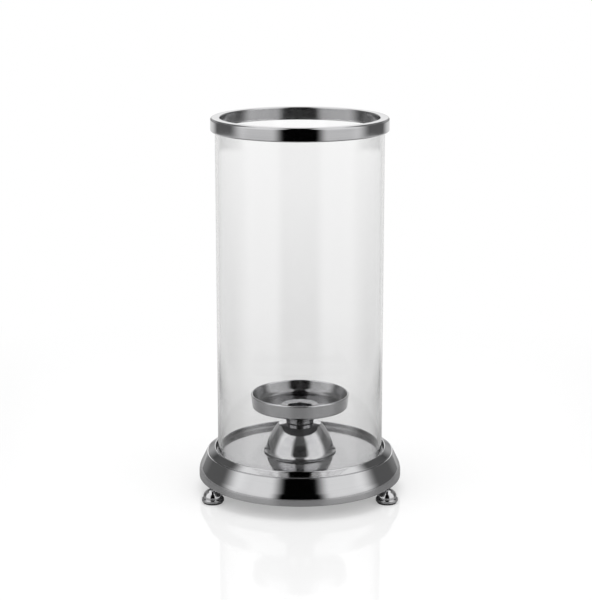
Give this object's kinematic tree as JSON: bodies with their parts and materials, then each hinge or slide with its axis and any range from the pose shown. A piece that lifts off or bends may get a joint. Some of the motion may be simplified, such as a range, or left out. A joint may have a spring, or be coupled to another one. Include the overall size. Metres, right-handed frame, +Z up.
{
  "type": "candle lantern",
  "caption": "Tall clear glass cylinder with a metal ring round its top, standing in a stepped round metal base on ball feet, over a pedestal dish that holds a candle.",
  "frame": {"origin": "on the lantern's axis, in the plane that the three foot pads stand on", "axes": "+Z up along the axis of the glass, -Y towards the front, with a foot at the front left, front right and rear"},
  "size_m": [0.1848, 0.1926, 0.3418],
  "materials": {
    "plated_metal": "turned, polished and plated in dark nickel",
    "floor_plate_metal": "satin polished",
    "clear_glass": "clear, fire-polished edges",
    "liner_plastic": "soft translucent strip",
    "pad_rubber": "matt black",
    "fastener_steel": "zinc plated"
  },
  "bodies": {
    "stand": {"base_plinth": "plated_metal", "floor_plate": "floor_plate_metal", "pedestal_bell": "plated_metal", "neck": "plated_metal", "candle_dish": "plated_metal", "candle_socket": "plated_metal", "centre_bolt": "fastener_steel", "centre_washer": "fastener_steel", "centre_nut": "fastener_steel", "foot_front_left": "plated_metal", "foot_front_right": "plated_metal", "foot_rear": "plated_metal", "foot_pad_front_left": "pad_rubber", "foot_pad_front_right": "pad_rubber", "foot_pad_rear": "pad_rubber", "foot_studs": "fastener_steel"},
    "shade": {"glass_cylinder": "clear_glass", "ring_liner": "liner_plastic", "top_ring": "plated_metal"}
  },
  "joints": [
    {"name": "shade_lift", "type": "slide", "parent": "stand", "child": "shade", "axis": [0, 0, 1], "range_m": [0, 0.08]}
  ]
}
